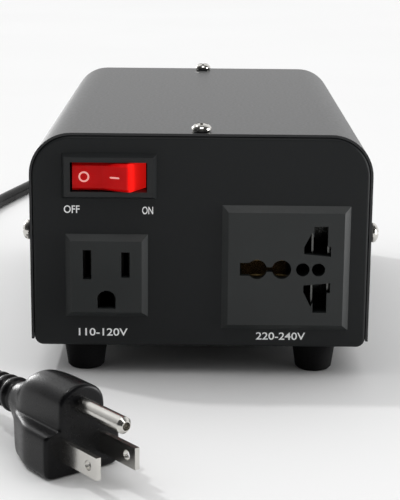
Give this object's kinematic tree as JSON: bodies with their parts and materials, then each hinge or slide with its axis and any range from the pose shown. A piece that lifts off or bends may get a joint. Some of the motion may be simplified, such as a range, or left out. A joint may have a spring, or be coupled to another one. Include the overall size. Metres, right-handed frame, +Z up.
{
  "type": "travel voltage converter",
  "caption": "Step-up and step-down mains converter: painted steel box with a lighted rocker switch, front outlets, a ring transformer inside and a coiled mains lead with an earthed plug.",
  "frame": {"origin": "on the floor under the middle of the converter, measured without the mains lead", "axes": "+Z up from the feet, the front panel with the outlets faces -Y, +X to the right of somebody facing that panel"},
  "size_m": [0.1719, 0.4603, 0.0848],
  "materials": {
    "panel_paint": "satin black paint",
    "cover_paint": "satin black paint",
    "screw_nickel": "nickel plated",
    "zinc_steel": "zinc plated",
    "foot_rubber": "matt",
    "switch_plastic": "fine texture",
    "rocker_red": "translucent red",
    "plunger_nylon": "plain",
    "spring_steel": "bright",
    "lamp_glass": "clear",
    "contact_brass": "bright",
    "socket_plastic": "fine texture",
    "fuse_plastic": "moulded",
    "tinned_brass": "tin plated",
    "fuse_glass": "clear",
    "selector_plastic": "moulded",
    "slider_red": "moulded",
    "core_steel": "varnished",
    "winding_copper": "enamelled copper",
    "pad_rubber": "matt",
    "mains_wire_pvc": "plain",
    "switch_wire_pvc": "plain",
    "socket_wire_pvc": "plain",
    "cord_pvc": "smooth",
    "tie_plastic": "plain",
    "plug_pvc": "moulded",
    "pin_nickel": "nickel plated"
  },
  "bodies": {
    "case": {"chassis": "panel_paint", "top_cover": "cover_paint", "cover_screws": "screw_nickel", "foot_front_left": "foot_rubber", "foot_front_right": "foot_rubber", "foot_rear_left": "foot_rubber", "foot_rear_right": "foot_rubber", "foot_screws": "zinc_steel", "foot_nuts": "zinc_steel", "switch_housing": "switch_plastic", "switch_terminals": "contact_brass", "us_socket": "socket_plastic", "us_socket_back": "socket_plastic", "us_contact_line": "contact_brass", "us_contact_neutral": "contact_brass", "us_contact_earth": "contact_brass", "multi_socket": "socket_plastic", "multi_socket_back": "socket_plastic", "multi_contact_line": "contact_brass", "multi_contact_neutral": "contact_brass", "multi_contact_earth": "contact_brass", "fuse_holder": "fuse_plastic", "fuse_nut": "zinc_steel", "fuse_terminals": "tinned_brass", "selector_housing": "selector_plastic", "selector_terminals": "contact_brass", "selector_screws": "zinc_steel", "toroid_core": "core_steel", "winding_left": "winding_copper", "winding_right": "winding_copper", "lower_pad": "pad_rubber", "upper_pad": "pad_rubber", "dish_plate": "zinc_steel", "centre_bolt": "zinc_steel", "centre_nut": "zinc_steel", "mains_wires": "mains_wire_pvc", "switch_wires": "switch_wire_pvc", "socket_wires": "socket_wire_pvc", "earth_lug": "tinned_brass", "earth_screw": "zinc_steel", "cord_gland": "cord_pvc", "cord_lead": "cord_pvc", "cord_coil": "cord_pvc", "cord_run": "cord_pvc", "cord_tie": "tie_plastic", "plug_body": "plug_pvc", "plug_blades": "pin_nickel", "plug_earth_pin": "pin_nickel"},
    "rocker": {"rocker": "rocker_red", "rocker_plunger": "plunger_nylon", "rocker_spring": "spring_steel", "neon_lamp": "lamp_glass"},
    "contact_arm": {"contact_arm": "contact_brass"},
    "selector_slider": {"selector_slider": "slider_red"},
    "fuse_carrier": {"fuse_carrier": "tinned_brass", "fuse_glass": "fuse_glass", "fuse_ends": "tinned_brass"},
    "fuse_cap": {"fuse_cap": "fuse_plastic"}
  },
  "joints": [
    {"name": "rocker_tip", "type": "hinge", "parent": "case", "child": "rocker", "pos_m": [-0.0302, -0.08496, 0.0678], "axis": [0, 0, 1], "range_deg": [0, 22]},
    {"name": "contact_arm_tip", "type": "hinge", "parent": "case", "child": "contact_arm", "pos_m": [-0.0302, -0.07961, 0.0678], "axis": [0, 0, 1], "range_deg": [-11, 0]},
    {"name": "selector_slide", "type": "slide", "parent": "case", "child": "selector_slider", "axis": [1, 0, 0], "range_m": [0, 0.005]},
    {"name": "fuse_draw", "type": "slide", "parent": "case", "child": "fuse_carrier", "axis": [0, 1, 0], "range_m": [0, 0.026]},
    {"name": "fuse_cap_turn", "type": "hinge", "parent": "fuse_carrier", "child": "fuse_cap", "pos_m": [0.004, 0.098, 0.046], "axis": [0, 1, 0], "range_deg": [0, 60]}
  ],
  "couplings": [
    {"joint": "contact_arm_tip", "follows": "rocker_tip", "ratio": -0.5}
  ]
}
